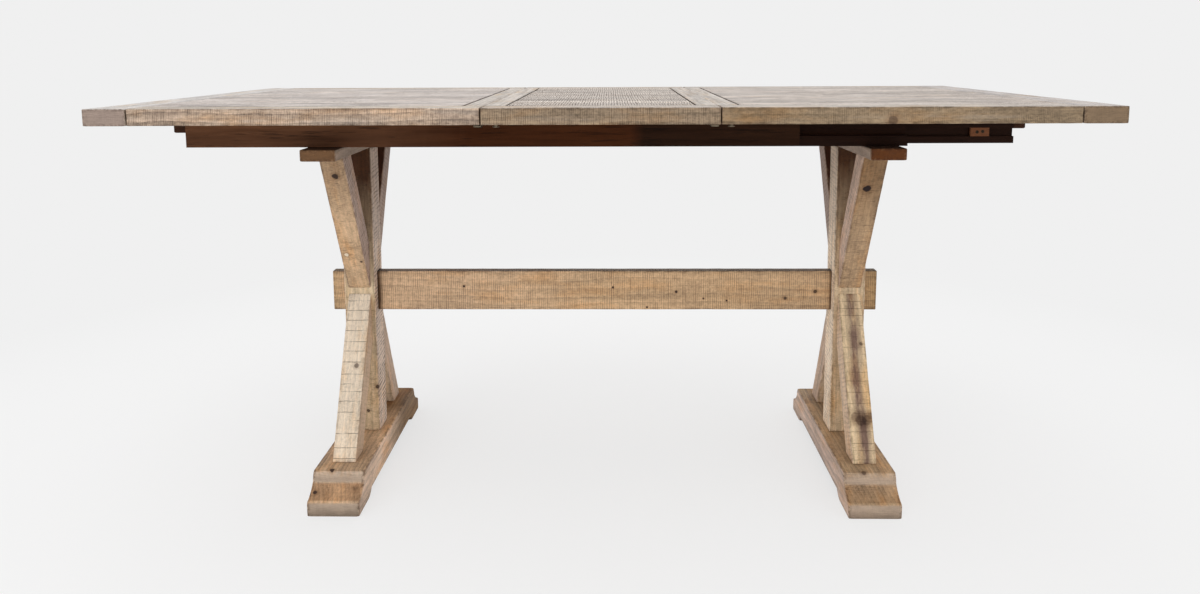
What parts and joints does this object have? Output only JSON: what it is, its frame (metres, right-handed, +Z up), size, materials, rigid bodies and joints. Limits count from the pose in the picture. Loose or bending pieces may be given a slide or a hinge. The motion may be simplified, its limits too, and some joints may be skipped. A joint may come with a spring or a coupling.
{
  "type": "trestle dining table",
  "caption": "Counter-height trestle table with crossed legs, ogee feet, a through stretcher, and a plank top that draws apart on geared wooden slides round a lift-out leaf.",
  "frame": {"origin": "on the floor, under the middle of the top", "axes": "+X along the table to the picture's right, +Y to the back, +Z up"},
  "size_m": [1.9812, 1.016, 0.9144],
  "materials": {
    "top_wood": "brushed matt",
    "frame_wood": "rough-sawn matt",
    "slide_wood": "satin",
    "stop_wood": "plain",
    "cleat_wood": "plain",
    "peg_wood": "plain",
    "gear_steel": "machined",
    "bolt_steel": "plated",
    "zinc_steel": "bright zinc",
    "pin_brass": "satin"
  },
  "bodies": {
    "base": {"back_fixed_rail": "slide_wood", "front_fixed_rail": "slide_wood", "left_back_lower_leg": "frame_wood", "left_back_upper_leg": "frame_wood", "left_beam": "frame_wood", "left_foot": "frame_wood", "left_front_lower_leg": "frame_wood", "left_front_upper_leg": "frame_wood", "left_post": "frame_wood", "pinion_axles": "gear_steel", "rail_bolts": "bolt_steel", "right_back_lower_leg": "frame_wood", "right_back_upper_leg": "frame_wood", "right_beam": "frame_wood", "right_foot": "frame_wood", "right_front_lower_leg": "frame_wood", "right_front_upper_leg": "frame_wood", "right_post": "frame_wood", "stretcher": "frame_wood", "stretcher_pegs": "peg_wood"},
    "left_half": {"left_back_board": "top_wood", "left_closing_stop": "stop_wood", "left_cross_board": "top_wood", "left_end_board": "top_wood", "left_end_cleat": "cleat_wood", "left_front_board": "top_wood", "left_inner_rack": "gear_steel", "left_inner_rail": "slide_wood", "left_lock_plates": "zinc_steel", "left_outer_rack": "gear_steel", "left_outer_rail": "slide_wood", "left_pins": "pin_brass", "left_planks": "top_wood"},
    "right_half": {"right_back_board": "top_wood", "right_closing_stop": "stop_wood", "right_cross_board": "top_wood", "right_end_board": "top_wood", "right_end_cleat": "cleat_wood", "right_front_board": "top_wood", "right_inner_rack": "gear_steel", "right_inner_rail": "slide_wood", "right_keepers": "zinc_steel", "right_outer_rack": "gear_steel", "right_outer_rail": "slide_wood", "right_planks": "top_wood"},
    "leaf": {"leaf_back_board": "top_wood", "leaf_front_board": "top_wood", "leaf_keepers": "zinc_steel", "leaf_left_cross_board": "top_wood", "leaf_lock_plates": "zinc_steel", "leaf_pins": "pin_brass", "leaf_planks": "top_wood", "leaf_right_cross_board": "top_wood"},
    "back_pinion": {"back_pinion": "gear_steel"},
    "front_pinion": {"front_pinion": "gear_steel"},
    "leaf_back_lever": {"leaf_back_lever": "zinc_steel"},
    "leaf_front_lever": {"leaf_front_lever": "zinc_steel"},
    "left_back_lever": {"left_back_lever": "zinc_steel"},
    "left_front_lever": {"left_front_lever": "zinc_steel"}
  },
  "joints": [
    {"name": "left_slide", "type": "slide", "parent": "base", "child": "left_half", "axis": [-1, 0, 0], "range_m": [0, 0.0254]},
    {"name": "right_slide", "type": "slide", "parent": "base", "child": "right_half", "axis": [1, 0, 0], "range_m": [0, 0.0254]},
    {"name": "leaf_lift", "type": "slide", "parent": "base", "child": "leaf", "axis": [0, 0, 1], "range_m": [0, 0.3]},
    {"name": "front_pinion_turn", "type": "hinge", "parent": "base", "child": "front_pinion", "pos_m": [0, -0.2447, 0.8591], "axis": [0, 0, -1], "range_deg": [0, 81.1]},
    {"name": "back_pinion_turn", "type": "hinge", "parent": "base", "child": "back_pinion", "pos_m": [0, 0.2447, 0.8591], "axis": [0, 0, -1], "range_deg": [0, 81.1]},
    {"name": "left_front_lever_turn", "type": "hinge", "parent": "left_half", "child": "left_front_lever", "pos_m": [-0.2376, -0.463, 0.8777], "axis": [0, 0, -1], "range_deg": [0, 90]},
    {"name": "left_back_lever_turn", "type": "hinge", "parent": "left_half", "child": "left_back_lever", "pos_m": [-0.2376, 0.463, 0.8777], "axis": [0, 0, 1], "range_deg": [0, 90]},
    {"name": "leaf_front_lever_turn", "type": "hinge", "parent": "leaf", "child": "leaf_front_lever", "pos_m": [0.2196, -0.463, 0.8777], "axis": [0, 0, -1], "range_deg": [0, 90]},
    {"name": "leaf_back_lever_turn", "type": "hinge", "parent": "leaf", "child": "leaf_back_lever", "pos_m": [0.2196, 0.463, 0.8777], "axis": [0, 0, 1], "range_deg": [0, 90]}
  ],
  "couplings": [
    {"joint": "right_slide", "follows": "left_slide", "ratio": 1},
    {"joint": "front_pinion_turn", "follows": "left_slide", "rad_per_m": 55.556},
    {"joint": "back_pinion_turn", "follows": "left_slide", "rad_per_m": 55.556}
  ]
}
